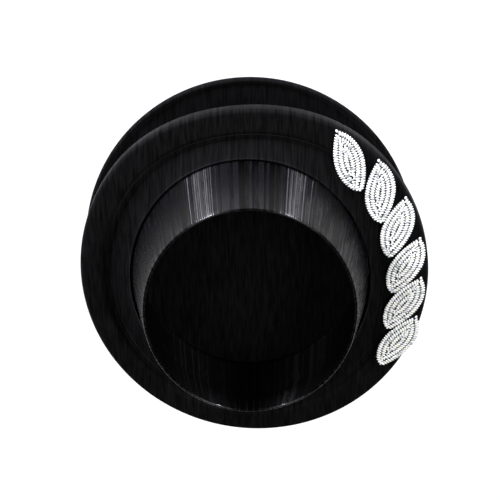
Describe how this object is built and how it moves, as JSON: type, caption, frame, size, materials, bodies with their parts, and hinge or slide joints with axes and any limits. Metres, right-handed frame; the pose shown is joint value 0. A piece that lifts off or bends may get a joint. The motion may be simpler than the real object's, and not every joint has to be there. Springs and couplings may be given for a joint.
{
  "type": "hat",
  "caption": "Sculptural hat with an oval head band, a dished brim, a second plate closing the crown and a spray of crystal leaves.",
  "frame": {"origin": "middle of the flat outside of the crown top, which the hat lies on with its head opening upwards", "axes": "+Z from the crown top towards the head opening, +Y towards the front of the hat, +X towards the wearer's left, where the leaves are"},
  "size_m": [0.2689, 0.2922, 0.1208],
  "materials": {
    "ribbed_cloth": "ribbed, slightly glossy",
    "brim_cloth": "fine ribbed, satin",
    "crystal_setting": "clear cut stones with foiled backs, bright"
  },
  "bodies": {
    "root": {"crown_band": "ribbed_cloth", "lower_brim": "brim_cloth", "crown_top": "brim_cloth", "leaf_1": "crystal_setting", "leaf_2": "crystal_setting", "leaf_3": "crystal_setting", "leaf_4": "crystal_setting", "leaf_5": "crystal_setting", "leaf_6": "crystal_setting"}
  },
  "joints": []
}
